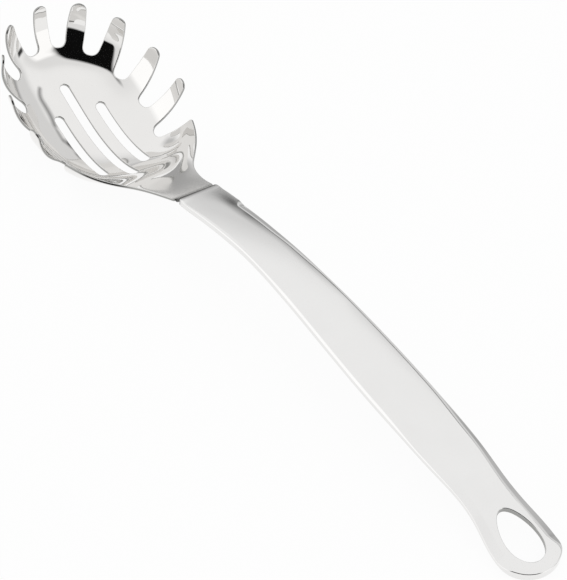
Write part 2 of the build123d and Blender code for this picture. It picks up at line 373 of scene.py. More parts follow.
def contour_loops(field, low, high, step):
    """Closed zero lines of a field over a rectangle, as lists of points."""
    counts = np.ceil((high - low) / step).astype(int) + 1
    us = np.linspace(low[0], high[0], counts[0])
    vs = np.linspace(low[1], high[1], counts[1])
    grid_u, grid_v = np.meshgrid(us, vs, indexing="ij")
    values = field(np.stack([grid_u.ravel(), grid_v.ravel()], axis=-1)).reshape(grid_u.shape)
    values[[0, -1], :] = np.minimum(values[[0, -1], :], outside)
    values[:, [0, -1]] = np.minimum(values[:, [0, -1]], outside)
    solid = values > 0.0
    here = solid[:-1, :-1]
    mixed = (here != solid[1:, :-1]) | (here != solid[:-1, 1:]) | (here != solid[1:, 1:])
    crossing, links = {}, {}
    for i, j in np.argwhere(mixed):
        corners = [(i, j), (i + 1, j), (i + 1, j + 1), (i, j + 1)]
        hits = []
        for p, q in zip(corners, corners[1:] + corners[:1]):
            if solid[p] != solid[q]:
                key = a, b = min(p, q), max(p, q)
                share = values[a] / (values[a] - values[b])
                u = us[a[0]] + (us[b[0]] - us[a[0]]) * share
                crossing[key] = (u, vs[a[1]] + (vs[b[1]] - vs[a[1]]) * share)
                hits.append((key, solid[p]))
        for n in range(0, len(hits), 2):
            first, second = hits[n], hits[(n + 1) % len(hits)]
            start, end = (first[0], second[0]) if first[1] else (second[0], first[0])
            links.setdefault(start, []).append(end)
    loops = []
    while links:
        loop, here = [], next(iter(links))
        while here in links:
            loop.append(crossing[here])
            following = links[here].pop()
            if not links[here]:
                del links[here]
            here = following
        loops.append(np.array(loop))
    return loops


def slopes(rule, flat, nudge=0.05):
    """How fast the values of a rule change along each flat direction."""
    steps = np.eye(2) * nudge
    return [(rule(flat + step) - rule(flat - step)) / (2.0 * nudge) for step in steps]


def onto_line(field, points, rounds=4, nudge=0.02, least_slope=0.05, longest_move=0.3):
    """Moves points of a contour exactly onto its zero line."""
    for _ in range(rounds):
        value = field(points)
        slope = np.stack(slopes(field, points, nudge), axis=-1)
        size = np.maximum((slope**2).sum(1), least_slope)
        move = value[:, None] * slope / size[:, None]
        points = points - np.clip(move, -longest_move, longest_move)
    return points


def spaced(points, place, spacing):
    """Points moved along a closed loop to even spacing in space."""
    closed = np.vstack([points, points[:1]])
    pieces = np.linalg.norm(np.diff(place(closed), axis=0), axis=1)
    length = np.concatenate([[0.0], np.cumsum(pieces)])
    count = int(round(length[-1] / spacing))
    wanted = np.linspace(0.0, length[-1], count, endpoint=False)
    return np.stack([np.interp(wanted, length, closed[:, k]) for k in range(2)], axis=-1)


def softened(points, rounds):
    """A closed loop with the finest zigzag taken out."""
    for _ in range(rounds):
        points = (np.roll(points, 1, axis=0) + points * 2.0 + np.roll(points, -1, axis=0)) / 4.0
    return points


# %% [markdown]
# Sheet metal that has been tumbled and polished has small round edges, and they
# give the bright lines along every tine. So a plate is three parts: the upper face,
# the lower face, and an edge band that carries a chosen section along each loop.
# Faces between the loops are filled with an even net of triangles, and each corner
# gets the exact normal of the rule, so that a mirror finish stays calm.

# %% Plate builder
merge_distance = 1e-7


class Plate:
    """Gathers the points, normals and faces of one piece."""

    def __init__(self):
        self.points, self.normals, self.cuts, self.faces, self.count = [], [], [], [], 0

    def add(self, points, normals, cut=0.0):
        """Adds points with their normals and how much they lie on a cut edge, which is duller and
        darkened with painted shade.
        """
        self.points.append(points)
        self.normals.append(unit(normals))
        self.cuts.append(np.full(len(points), 1.0) * cut)
        self.count += len(points)
        return np.arange(self.count - len(points), self.count)

    def band(self, rings):
        """Joins rings of equal length into a closed band."""
        for upper, lower in zip(rings, rings[1:]):
            quads = np.stack([upper, np.roll(upper, -1), np.roll(lower, -1), lower], axis=-1)
            self.faces += [tuple(q) for q in quads.tolist()]

    def fill(self, flat, index, left, spread, lift, clearance):
        """Fills the face inside the loops, whose flat places and indices are given."""
        loops = np.vstack(flat)
        edges, first = [], 0
        for loop in flat:
            ring = np.arange(first, first + len(loop))
            edges += list(zip(ring.tolist(), np.roll(ring, -1).tolist()))
            first += len(loop)
        everything = np.vstack([loops, spread[left(spread) > clearance]])
        result = delaunay_2d_cdt([Vector(p) for p in everything], edges, [], 0, merge_distance)
        triangles = np.array([f for f in result[2] if len(f) == 3])
        new = np.array([tuple(v) for v in result[0]])
        source = np.array([ids[0] if ids else -1 for ids in result[3]])
        triangles = triangles[inside_loops(new[triangles].mean(axis=1), flat)]
        where = np.full(len(new), -1)
        known = (source >= 0) & (source < len(loops))
        where[known] = np.concatenate(index)[source[known]]
        where[~known] = self.add(*lift(new[~known]))
        self.faces += [tuple(t) for t in where[triangles].tolist()]

    def finish(self, name):
        """Makes the Blender object, turning each face to agree with its normals."""
        points, normals = np.vstack(self.points), np.vstack(self.normals)
        faces = []
        for face in self.faces:
            p = points[list(face)]
            facing = np.cross(p[1] - p[0], p[-1] - p[0]) @ normals[list(face)].sum(axis=0)
            faces.append(face if facing >= 0.0 else face[::-1])
        mesh = bpy.data.meshes.new(name)
        mesh.from_pydata((points * MM).tolist(), [], faces)
        mesh.polygons.foreach_set("use_smooth", [True] * len(mesh.polygons))
        mesh.normals_split_custom_set_from_vertices(normals.tolist())
        # Mask of the cut edges: duller steel, and a base colour darkened with painted shade
        edge_dulling_and_painted_shade = mesh.attributes.new("edge_dulling_and_painted_shade", "FLOAT", "POINT")
        edge_dulling_and_painted_shade.data.foreach_set("value", np.concatenate(self.cuts))
        triangles = sum(len(p.vertices) - 2 for p in mesh.polygons)
        print(name, len(points), "points", triangles, "triangles")
        return placed(name, mesh)


def inside_loops(points, loops):
    """True for points that lie inside an odd number of loops."""
    inside = np.zeros(len(points), bool)
    for loop in loops:
        for start, end in zip(loop, np.roll(loop, -1, axis=0)):
            inside ^= passed(points, start, end)
    return inside


def arc(middle, radius, start, end, count):
    """Section points and normals along an arc, angles from outwards to up."""
    turned = [(math.cos(t), math.sin(t)) for t in np.radians(np.linspace(start, end, count))]
    return [(middle[0] + radius * c, middle[1] + radius * s, c, s) for c, s in turned]


def net_over(low, high, step):
    """A square net of flat places over a rectangle."""
    axes = [np.arange(low[k], high[k], step) for k in range(2)]
    return np.stack(np.meshgrid(*axes, indexing="ij"), axis=-1)


# %% [markdown]
# The head: one 1.2 mm sheet. The press leaves shallow dents low in the bowl, which
# show in the photograph as small wavering reflections, so the surface carries a few
# soft waves of some hundredths of a millimetre there.

# %% Head surface
head_sheet = 1.2
edge_round = 0.38
wave_depth = 0.035
wave_middle = np.array([12.0, -14.0])
wave_reach = np.array([34.0, 30.0])
wave_turns = (0.33, 0.27)
sway = (0.8, 0.6)
sway_turns = (0.21, 0.17)
contour_step = 0.6


def waves(flat):
    """Shallow press waves of the bowl, in millimetres."""
    u, v = flat.T
    fade = np.exp(-(((flat - wave_middle) / wave_reach) ** 2)).prod(axis=1)
    swell = np.sin(u * wave_turns[0] + sway[0] * np.sin(v * sway_turns[0]))
    swell = swell * np.cos(v * wave_turns[1] + sway[1] * np.sin(u * sway_turns[1]))
    return wave_depth * fade * swell


def facing(rule, flat):
    """Upward normals of a surface that is given as a rule."""
    return unit(np.cross(*slopes(rule, flat)))


def waved(flat):
    """Points of the head's middle surface, with its press waves."""
    return bowl_plain(flat) + facing(bowl_plain, flat) * waves(flat)[:, None]


def head_surface(flat):
    """Points and upward normals of the head's middle surface."""
    return waved(flat), facing(waved, flat)


def head_field(flat):
    """How much sheet is left, from flat sheet coordinates."""
    return sheet_left(bowl_plain(flat))


head_loops = contour_loops(head_field, sheet_low, sheet_high, contour_step)
lengths = [np.linalg.norm(np.diff(bowl_plain(loop), axis=0), axis=1).sum() for loop in head_loops]
print("head outline loops", [round(length) for length in lengths])


# %% Head edges
def loop_frame(points, normals):
    """Outward directions of a loop: across its run, in the surface."""
    run = unit(np.roll(points, -1, axis=0) - np.roll(points, 1, axis=0))
    return unit(np.cross(run, normals))


def pull_in(flat, surface, field, inset, probe=0.2):
    """Flat places of a loop moved into the sheet, and their outward directions."""
    out = loop_frame(*surface(flat))
    along, across = slopes(lambda places: surface(places)[0], flat)
    pairs = ((along, along), (along, across), (across, across), (out, along), (out, across))
    aa, ab, bb, oa, ob = ((p * q).sum(1) for p, q in pairs)
    move = np.stack([oa * bb - ob * ab, ob * aa - oa * ab], axis=-1) / (aa * bb - ab**2)[:, None]
    deeper = field(flat - move * probe) > field(flat + move * probe)
    sign = 1.0 if deeper.mean() > 0.5 else -1.0
    return flat - sign * inset * move, sign * out


half = head_sheet / 2.0
edge_spacing = 0.42
head_section = arc((-edge_round, half - edge_round), edge_round, 90.0, 0.0, 5)
head_section += arc((-edge_round, edge_round - half), edge_round, 0.0, -90.0, 5)

head_plate = Plate()
inset_loops, upper_index, lower_index = [], [], []
for loop in head_loops:
    loop = softened(spaced(onto_line(head_field, loop), bowl_plain, edge_spacing), 2)
    inset_loop, out = pull_in(loop, head_surface, head_field, edge_round)
    points, normals = head_surface(inset_loop)
    out = unit(out - normals * (out * normals).sum(1)[:, None])
    rings = []
    for a, h, na, nh in head_section:
        ring = points + out * (a + edge_round) + normals * h
        # The edge walls get that mask of dulling and painted shade, most where they face sideways
        rings.append(head_plate.add(ring, out * na + normals * nh, 1.0 - abs(nh)))
    head_plate.band(rings)
    inset_loops.append(inset_loop)
    upper_index.append(rings[0])
    lower_index.append(rings[-1])
print("head edge points", head_plate.count)


# %% Head faces
net = 0.75
net_clearance = edge_round + 0.3
net_points = net_over(sheet_low, sheet_high, net)
net_points[:, ::2, 0] += net / 2.0
net_points = net_points.reshape(-1, 2)


def head_face(side):
    """Rule of the upper face, or of the lower face where side is minus one."""
    def lift(flat):
        points, normals = head_surface(flat)
        return points + normals * (half * side), normals * side

    return lift


for side, index in ((1.0, upper_index), (-1.0, lower_index)):
    head_plate.fill(inset_loops, index, head_field, net_points, head_face(side), net_clearance)
head = head_plate.finish("bowl_head")


# %% [markdown]
# The handle: one 2 mm stamping, arched along its length, with rounded shoulders and
# edges that are turned down to 3.1 mm round a hollow underside. Its top is crowned a
# little, and a bevel runs along its edges. On the right the turned edge starts with a
# small step behind the neck, and painted shade darkens that edge up to the step and
# the step itself. It is made the same way as the head, from above, with a
# longer edge section that goes over the shoulder, down the side, under the lip and up
# into the hollow.

# %% Handle lines
handle_sheet = 2.0
edge_depth = 3.1
shoulder = 2.0
seam_rear = -49.6
handle_end = 168.3
handle_top = np.array([
    (seam_rear, 24.0), (-27.1, 27.5), (-2.1, 29.1), (37.9, 26.5), (82.9, 20.8),
    (117.9, 15.8), (137.9, 11.2), (152.9, 6.4), (handle_end, edge_depth),
])
handle_widths = np.array([
    (seam_rear, 9.3), (-46.0, 9.75), (-38.0, 9.9), (-27.1, 9.9), (-3.1, 10.1), (9.9, 10.6),
    (34.9, 11.8), (59.9, 12.8), (78.9, 13.1), (96.9, 12.9), (115.9, 12.2), (132.9, 11.1),
    (139.9, 11.6), (146.9, 12.8), (154.0, 13.7), (161.4, 12.7),
])
hole_start, hole_end, hole_width, hole_taper = 140.9, 163.4, 15.0, 0.18
outline_points = 1400
hole_points = 160


def top_height(x):
    """Height of the top's middle line."""
    return on_curve(handle_top[:, 0], handle_top[:, 1], x)


mirrored_widths = handle_widths[::-1] * [1.0, -1.0]
outline = line_through(
    np.vstack([handle_widths, [(handle_end, 0.0)], mirrored_widths]), outline_points
)
# The hang hole is an egg, wider towards the end of the loop
turn = np.linspace(0.0, 2.0 * math.pi, hole_points, endpoint=False)
hole_x = (hole_start + hole_end) / 2.0 + (hole_end - hole_start) / 2.0 * np.cos(turn)
hole_y = hole_width / 2.0 * np.sin(turn) * (1.0 + hole_taper * np.cos(turn))
hole = np.stack([hole_x, hole_y], axis=-1)


def inside_outline(flat):
    """How far a place lies inside the handle's outline."""
    return -polygon_distance(flat, outline[::4])


def outside_hole(flat):
    """How far a place lies outside the hang hole."""
    return polygon_distance(flat, hole[::2])


print("handle outline from", outline.min(0).round(2), "to", outline.max(0).round(2), "mm")


# %% Crown and bevel
# The pressed top is not quite flat across: it is crowned a little behind the neck
crown_width = 9.9
crown_at = [seam_rear, -45.0, -30.0, 0.0, 40.0, 100.0, 125.0, handle_end]
crown_drop = [0.0, 0.50, 0.50, 0.30, 0.12, 0.10, 0.0, 0.0]
# Its edges are coined down in a bevel behind the neck and round the loop
bevel_at = [
    seam_rear, -36.0, -31.0, -14.0, 4.0, 24.0, 84.0, 108.0, 136.0, 156.0, 165.0, handle_end,
]
bevel_right = [0.0, 0.0, 3.2, 3.0, 2.2, 1.6, 1.8, 2.8, 3.4, 4.0, 0.0, 0.0]
bevel_left = [0.0, 0.4, 0.6, 0.8, 1.2, 1.6, 1.8, 2.8, 3.4, 4.0, 0.0, 0.0]
slope_at = [seam_rear, -14.0, 24.0, 84.0, 112.0, handle_end]
bevel_slope = [0.27, 0.28, 0.31, 0.36, 0.46, 0.46]
bevel_soft = 0.7
tight_at = [seam_rear, -44.0, 4.0, 24.0, 84.0, 108.0, 136.0, handle_end]
tight_share = [1.0, 0.9, 0.7, 0.3, 0.3, 0.8, 1.0, 1.0]


def eased(x, at, values):
    """Values that pass softly through the given stations."""
    at, values = np.array(at), np.array(values)
    place = np.clip(np.searchsorted(at, x) - 1, 0, len(at) - 2)
    t = np.clip((x - at[place]) / (at[place + 1] - at[place]), 0.0, 1.0)
    return values[place] + (values[place + 1] - values[place]) * t * t * (3.0 - 2.0 * t)


def bevel_width(flat):
    """Width of the bevel, with the right and the left side each as pressed."""
    left, right = (eased(flat[:, 0], bevel_at, side) for side in (bevel_left, bevel_right))
    return np.where(flat[:, 1] > 0.0, right, left)


def crown(flat):
    """How far the crowned and bevelled top lies below its middle line."""
    middle = eased(flat[:, 0], crown_at, crown_drop) * (flat[:, 1] / crown_width) ** 2
    into_bevel = bevel_width(flat) - inside_outline(flat)
    bend = np.clip(into_bevel + bevel_soft, 0.0, 2.0 * bevel_soft) ** 2 / (4.0 * bevel_soft)
    fall = bend + np.maximum(into_bevel - bevel_soft, 0.0)
    return middle + eased(flat[:, 0], slope_at, bevel_slope) * fall


def top_place(flat, drop=0.0):
    """Points of the top moved down by a drop, and its slopes along X and Y."""
    # The crown is full on top and fades to nothing at the lip
    share = 1.0 + drop / edge_depth
    height = top_height(flat[:, 0]) + drop - share * crown(flat)
    slope = slopes(lambda places: top_height(places[:, 0]), flat)
    fall = slopes(crown, flat)
    return np.column_stack([flat, height]), [s - share * f for s, f in zip(slope, fall)]


print("deepest crown and bevel", crown(outline).max().round(2), "mm")


# %% Edge sections
lip_round = 0.4
hollow_round = 0.6
seam_round = 0.3
hole_round = 0.3
tight_shoulder = 0.3
seam_reach = 0.6


def edge_section(radius):
    """Over the shoulder, down the side, under the lip and up into the hollow."""
    section = arc((-radius, -radius), radius, 90.0, 0.0, 9)
    section += arc((-lip_round, lip_round - edge_depth), lip_round, 0.0, -90.0, 4)
    section += arc((lip_round - handle_sheet, lip_round - edge_depth), lip_round, -90.0, -180.0, 4)
    inner_corner = (-handle_sheet - hollow_round, -handle_sheet - hollow_round)
    inner = arc(inner_corner, hollow_round, 0.0, 90.0, 4)
    return section + [(a, h, -na, -nh) for a, h, na, nh in inner]


def cut_section(radius, count):
    """Round the two corners of a plain cut edge."""
    section = arc((-radius, -radius), radius, 90.0, 0.0, count)
    return section + arc((-radius, radius - handle_sheet), radius, 0.0, -90.0, 4)


side_section = edge_section(shoulder)
tight_section = edge_section(tight_shoulder)
hole_section = cut_section(hole_round, 4)
seam_section = cut_section(seam_round, 9)
reach_in = np.linspace(seam_reach, handle_sheet + hollow_round, 8)
seam_section += [(-a, -handle_sheet, 0.0, -1.0) for a in reach_in]
print("edge section points", len(side_section), len(seam_section), "hole", len(hole_section))


# %% Handle rings
top_steps = (3.0, 2.0, 1.0)
step_reach = 0.2
ring_rounds = 6
seam_facing = 0.3
seam_blend = 0.5


def tightness(x):
    """How tight the shoulder is, from zero to one."""
    return eased(x, tight_at, tight_share)


def plan_frame(loop):
    """Run and outward direction of a loop in the plan."""
    run = np.roll(loop, -1, axis=0) - np.roll(loop, 1, axis=0)
    run = run / np.hypot(*run.T)[:, None]
    return run, np.stack([run[:, 1], -run[:, 0]], axis=-1)


def bevel_reach(flat, step):
    """How far inside the outline a ring along the bevel's inner line lies."""
    tight = tightness(flat[:, 0])
    radius = shoulder * (1.0 - tight) + tight_shoulder * tight
    on_bevel = bevel_width(flat) + bevel_soft * (step - 2.0)
    return np.maximum(on_bevel, radius + step_reach * step)


def ring_reach(loop, step):
    """The same for points of the outline, measured where the ring itself lies."""
    out = plan_frame(loop)[1]
    reach = bevel_reach(loop, step)
    for _ in range(ring_rounds):
        reach = 0.5 * reach + 0.5 * bevel_reach(loop - out * reach[:, None], step)
    return reach


def handle_ring(loop, section):
    """Ring of the edge section at an offset from a plan loop, and its normals."""
    run, out = plan_frame(loop)
    offset, drop, facing_out, facing_up = section.T
    flat = loop + out * offset[:, None]
    points, (slope_x, slope_y) = top_place(flat, drop)
    along = np.column_stack([run, slope_x * run[:, 0] + slope_y * run[:, 1]])
    # Direction of the section's run, a quarter turn from its normal
    a, h = -facing_up, facing_out * (1.0 - crown(flat) / edge_depth)
    rise = (slope_x * out[:, 0] + slope_y * out[:, 1]) * a + h
    normal = np.cross(along, np.column_stack([out * a[:, None], rise]))
    wanted = np.column_stack([out * facing_out[:, None], facing_up])
    return flat, points, normal * np.sign((normal * wanted).sum(1))[:, None]


def add_edge(loop, sections, cuts):
    """Adds the edge of one loop: flat places and indices of its first and last ring."""
    rings, flats = [], []
    for section, cut in zip(sections, cuts):
        flat, points, normal = handle_ring(loop, section)
        rings.append(handle_plate.add(points, normal, cut))
        flats.append(flat)
    handle_plate.band(rings)
    return flats[0], rings[0], flats[-1], rings[-1]


def even(loop, spacing, clockwise):
    """A closed plan loop with even spacing, turned the wanted way round."""
    loop = spaced(loop, lambda flat: np.column_stack([flat, np.zeros(len(flat))]), spacing)
    return loop if (signed_area(loop) < 0.0) == clockwise else loop[::-1]


ring_spacing = 0.6
side_loop = softened(even(outline, ring_spacing, False), 1)
hole_loop = even(hole, ring_spacing, True)
print("outline points", len(side_loop), "hole points", len(hole_loop))


# %% Handle edges
# The right edge counts as turned down only from here on: before it, painted shade darkens its side,
# and a mark of painted shade lies on the step where the turn starts
turned_from = -34.5
turned_run = 2.0
step_shade_width = 0.9
outward, upward = np.array([1.0, 0.0, 0.0, 0.0]), np.array([0.0, 0.0, 0.0, 1.0])
at_seam = (-plan_frame(side_loop)[1][:, :1] - seam_facing) / seam_blend
at_seam = np.clip(at_seam, 0.0, 1.0)
is_tight = tightness(side_loop[:, 0])[:, None]
side_sections = []
for step in top_steps:
    reach = ring_reach(side_loop, step)[:, None] * (1.0 - at_seam)
    reach = reach + (seam_round + step_reach * step) * at_seam
    side_sections.append(upward - outward * reach)
for side, tight, seam in zip(side_section, tight_section, seam_section):
    mixed = np.array(side) * (1.0 - is_tight) + np.array(tight) * is_tight
    side_sections.append(mixed * (1.0 - at_seam) + np.array(seam) * at_seam)

plain_edge_painted_shade = np.clip((turned_from + turned_run - side_loop[:, 0]) / turned_run, 0.0, 1.0)
step_painted_shade = np.exp(-(((side_loop[:, 0] - turned_from) / step_shade_width) ** 2)) * (1.0 - at_seam[:, 0])
# Only the right edge gets this painted shade, on the side where the shade falls
on_right = side_loop[:, 1] > 0.0
side_cuts = []
for section in side_sections:
    up = section[:, 3]
    cut = np.maximum(plain_edge_painted_shade * (1.0 - np.abs(up)), step_painted_shade * np.maximum(up, 0.0))
    side_cuts.append(cut * on_right)
hole_sections = [np.tile(point, (len(hole_loop), 1)) for point in hole_section]
# The hole's cut edge is duller and darkened with painted shade, as the head's edges are
hole_cuts = [1.0 - abs(point[3]) for point in hole_section]

handle_plate = Plate()
edges = (add_edge(side_loop, side_sections, side_cuts), add_edge(hole_loop, hole_sections, hole_cuts))
tops, top_index, webs, web_index = zip(*edges)
print("handle edge points", handle_plate.count)


# %% Handle faces
handle_net_side, handle_net_step = 14.0, 1.1
handle_net = net_over(
    (seam_rear, -handle_net_side), (handle_end, handle_net_side), handle_net_step
).reshape(-1, 2)
top_clearance = 0.35
web_clearance = handle_sheet + hollow_round + 0.5


def top_face(flat):
    """Points and normals of the crowned top."""
    points, (slope_x, slope_y) = top_place(flat)
    return points, np.column_stack([-slope_x, -slope_y, np.ones(len(flat))])


def web_face(flat):
    """Points and normals of the hollow side of the web."""
    points, (slope_x, slope_y) = top_place(flat, -handle_sheet)
    return points, np.column_stack([slope_x, slope_y, -np.ones(len(flat))])


def top_left(flat):
    """How far a place lies inside the top's rings."""
    beside = inside_outline(flat) - bevel_reach(flat, top_steps[0])
    return np.minimum(beside, outside_hole(flat) - hole_round)


def web_left(flat):
    """How far a place lies inside the outline and outside the hole."""
    return np.minimum(inside_outline(flat), outside_hole(flat))


handle_plate.fill(tops, top_index, top_left, handle_net, top_face, top_clearance)
handle_plate.fill(webs, web_index, web_left, handle_net, web_face, web_clearance)
handle = handle_plate.finish("arched_handle")


# %% [markdown]
# The weld: the two stampings meet end to end, and a short bead joins them. Above it
# is dressed flush with both sheets, and below it keeps the ripples of the weld pool.
# A path across the neck carries the bead's section, and the ripples follow a rule,
# so this piece is made with Geometry Nodes.

# %% Weld section
weld_half_width = 9.2
bead_drop = 0.35
bead_end_round = 0.8
weld_slopes = (1.1, 0.75)
weld_steps = 10
tab_start = 40.0
tab_steps = 3000
slope_run = 0.5


def tab_edge(grow):
    """Height and slope of a face of the neck tab where the weld starts."""
    u = np.linspace(tab_start, rear_angle * arc_scale, tab_steps)
    points, normals = head_surface(np.column_stack([u, np.zeros_like(u)]))
    points = points + normals * grow
    places = (seam_front, seam_front - slope_run)
    height, before = np.interp(places, points[:, 0], points[:, 2])
    return float(height), float(height - before) / slope_run


tab_top, tab_slope = tab_edge(half)
tab_bottom, _ = tab_edge(-half)
web_top = handle_top[0, 1]
web_bottom = web_top - handle_sheet
print("weld between", round(tab_top, 2), "slope", round(tab_slope, 2), "and", web_top)


def soft_bend(start, end, start_slope, end_slope, t):
    """Points of a soft bend between two edges with given slopes."""
    run = end[0] - start[0]
    height = (2 * t**3 - 3 * t**2 + 1) * start[1] + (t**3 - 2 * t**2 + t) * run * start_slope
    height += (3 * t**2 - 2 * t**3) * end[1] + (t**3 - t**2) * run * end_slope
    return [(start[0] + run * s, h) for s, h in zip(t, height)]


steps = np.linspace(0.0, 1.0, weld_steps)
weld_outline = soft_bend((seam_front, tab_top), (seam_rear, web_top), *weld_slopes, steps)
for t in steps:
    z = web_bottom + (tab_bottom - web_bottom) * t - bead_drop * 4.0 * t * (1.0 - t)
    weld_outline.append((seam_rear + (seam_front - seam_rear) * t, z))


# %% Node helpers
node_columns = 8
node_width, node_height = 220.0, 320.0


def node(tree, kind, inputs=(), **settings):
    """A new node: its settings, then each input linked to a socket or given a value."""
    made = tree.nodes.new(kind)
    row, column = divmod(len(tree.nodes) - 1, node_columns)
    made.location = (column * node_width, -row * node_height)
    for name, value in settings.items():
        setattr(made, name, value)
    for name, value in dict(inputs).items():
        if isinstance(value, bpy.types.NodeSocket):
            tree.links.new(value, made.inputs[name])
        else:
            made.inputs[name].default_value = value
    return made


def calculate(tree, operation, *values, clamp=False):
    """The result of a Math node that is fed by sockets or plain numbers."""
    values = dict(enumerate(values))
    return node(tree, "ShaderNodeMath", values, operation=operation, use_clamp=clamp).outputs[0]


def node_group(name, kind, inputs, outputs):
    """A group with named inputs and outputs: its tree and the sockets inside it."""
    tree = bpy.data.node_groups.new(name, kind)
    for title, socket_type, *value in inputs:
        socket = tree.interface.new_socket(title, in_out="INPUT", socket_type=socket_type)
        if value:
            socket.default_value = value[0]
    for title, socket_type in outputs:
        tree.interface.new_socket(title, in_out="OUTPUT", socket_type=socket_type)
    return tree, node(tree, "NodeGroupInput").outputs, node(tree, "NodeGroupOutput").inputs


# %% Geometry Nodes tree of the weld
number = "NodeSocketFloat"
geometry = "NodeSocketGeometry"
# Sizes in metres, as the finished mesh has them
ripple_pitch = 0.0011
ripple_depth = 0.00010
ripple_noise_scale = 600.0
bead_seed = 7
bead_rings = 121


def build_bead_tree(material):
    """Sweeps a section across the neck, and ripples its underside."""
    tree, given, made = node_group(
        "weld_bead", "GeometryNodeTree",
        [("Section", geometry), ("Half Width", number), ("Ripple Pitch", number),
         ("Ripple Depth", number), ("Seed", "NodeSocketInt")],
        [("Bead", geometry)],
    )
    left = node(tree, "ShaderNodeCombineXYZ", {"Y": given["Half Width"]}).outputs[0]
    other = calculate(tree, "MULTIPLY", given["Half Width"], -1.0)
    right = node(tree, "ShaderNodeCombineXYZ", {"Y": other}).outputs[0]
    path = node(tree, "GeometryNodeCurvePrimitiveLine", {"Start": right, "End": left}).outputs[0]
    path = node(tree, "GeometryNodeResampleCurve", {"Curve": path, "Count": bead_rings}).outputs[0]
    section = node(tree, "GeometryNodeMeshToCurve", {"Mesh": given["Section"]}).outputs[0]
    sweep = {"Curve": path, "Profile Curve": section, "Fill Caps": True}
    bead = node(tree, "GeometryNodeCurveToMesh", sweep).outputs[0]
    place = node(tree, "GeometryNodeInputPosition").outputs[0]
    across = node(tree, "ShaderNodeSeparateXYZ", {0: place}).outputs["Y"]
    noise = {"Vector": place, "W": given["Seed"], "Scale": ripple_noise_scale}
    uneven = node(tree, "ShaderNodeTexNoise", noise, noise_dimensions="4D").outputs[0]
    turns = calculate(tree, "DIVIDE", across, given["Ripple Pitch"])
    wave = calculate(tree, "PINGPONG", calculate(tree, "ADD", turns, uneven), 0.5)
    normal = node(tree, "GeometryNodeInputNormal").outputs[0]
    up = node(tree, "ShaderNodeSeparateXYZ", {0: normal}).outputs["Z"]
    below = calculate(tree, "MULTIPLY", up, -1.0, clamp=True)
    height = calculate(tree, "MULTIPLY", wave, given["Ripple Depth"])
    height = calculate(tree, "MULTIPLY", height, below)
    lift = node(tree, "ShaderNodeVectorMath", {0: normal, "Scale": height}, operation="SCALE")
    moved = {"Geometry": bead, "Offset": lift.outputs[0]}
    bead = node(tree, "GeometryNodeSetPosition", moved).outputs[0]
    bead = node(tree, "GeometryNodeRealizeInstances", {0: bead}).outputs[0]
    finished = {"Geometry": bead, "Material": material}
    tree.links.new(node(tree, "GeometryNodeSetMaterial", finished).outputs[0], made["Bead"])
    return tree


# %% [markdown]
# Mirror-polished stainless steel is not a perfect mirror. It has a faint haze that
# comes and goes with the polishing wheel, hairline scratches that run along the
# tool, and a softer zone round the weld, where it is dressed by hand. A narrow band
# of painted shade darkens the crease at the weld. One shader group makes these marks
# from the place on the tool, and each steel uses it with its own values.

# %% Polish group
scratch_stretch = (0.06, 1.0, 1.0)
scratch_detail, haze_detail = 3.0, 4.0


def build_polish_group():
    """Haze, hairline scratches, the dressed zone, and painted shade along the crease."""
    inputs = (
        ("Scratch Scale", 900.0), ("Haze Scale", 60.0), ("Low Roughness", 0.03),
        ("High Roughness", 0.08), ("Seam Place", 0.0), ("Dressed Reach", 0.02),
        ("Tint Reach", 0.002),
    )
    outputs = ("Roughness", "Height", "Tone", "Dressed", "Tint")
    group, given, made = node_group(
        "polish_and_crease_shade", "ShaderNodeTree",
        [(name, number, value) for name, value in inputs], [(name, number) for name in outputs],
    )

    def stretched(kind="LINEAR", **ends):
        """A value moved from one range to another, with underlines for spaces."""
        ends = {name.replace("_", " "): value for name, value in ends.items()}
        return node(group, "ShaderNodeMapRange", ends, interpolation_type=kind).outputs[0]

    def noise(vector, scale, detail):
        made = {"Vector": vector, "Scale": scale, "Detail": detail}
        return node(group, "ShaderNodeTexNoise", made).outputs[0]

    place = node(group, "ShaderNodeTexCoord").outputs["Object"]
    along = {"Vector": place, "Scale": scratch_stretch}
    along = node(group, "ShaderNodeMapping", along).outputs[0]
    scratches = noise(along, given["Scratch Scale"], scratch_detail)
    haze = noise(place, given["Haze Scale"], haze_detail)
    x = node(group, "ShaderNodeSeparateXYZ", {0: place}).outputs["X"]
    distance = calculate(group, "SUBTRACT", x, given["Seam Place"])
    distance = calculate(group, "ABSOLUTE", distance)
    marks = {
        "Roughness": stretched(
            Value=haze, From_Min=0.3, From_Max=0.75,
            To_Min=given["Low Roughness"], To_Max=given["High Roughness"],
        ),
        "Height": stretched(Value=scratches, From_Min=0.55, From_Max=0.75),
        "Tone": haze,
    }
    # Dressed marks the softer steel round the seam; the crease mask places painted shade along the
    # crease
    for name in ("Dressed", "Tint"):
        reach = given[name + " Reach"]
        marks[name] = stretched("SMOOTHSTEP", Value=distance, From_Max=reach, To_Min=1.0, To_Max=0.0)
    for name, mark in marks.items():
        group.links.new(mark, made[name])
    return group


polish_and_crease_shade = build_polish_group()
print("polish group nodes", len(polish_and_crease_shade.nodes))


# %% Steel materials
# The cut edges of the sheet are duller than its faces, and painted shade darkens their colour into
# dark edge lines
painted_edge_shade_tone = (0.36, 0.36, 0.35)
sheared_roughness = 0.25
# Round the weld the steel is softer, and painted shade darkens the crease
dressed_roughness = 0.26
dressed_reach = 0.022
crease_shade_tone = (0.10, 0.098, 0.095)
crease_shade_reach = 0.0036
seam_place = (seam_front + seam_rear) / 2.0 * MM


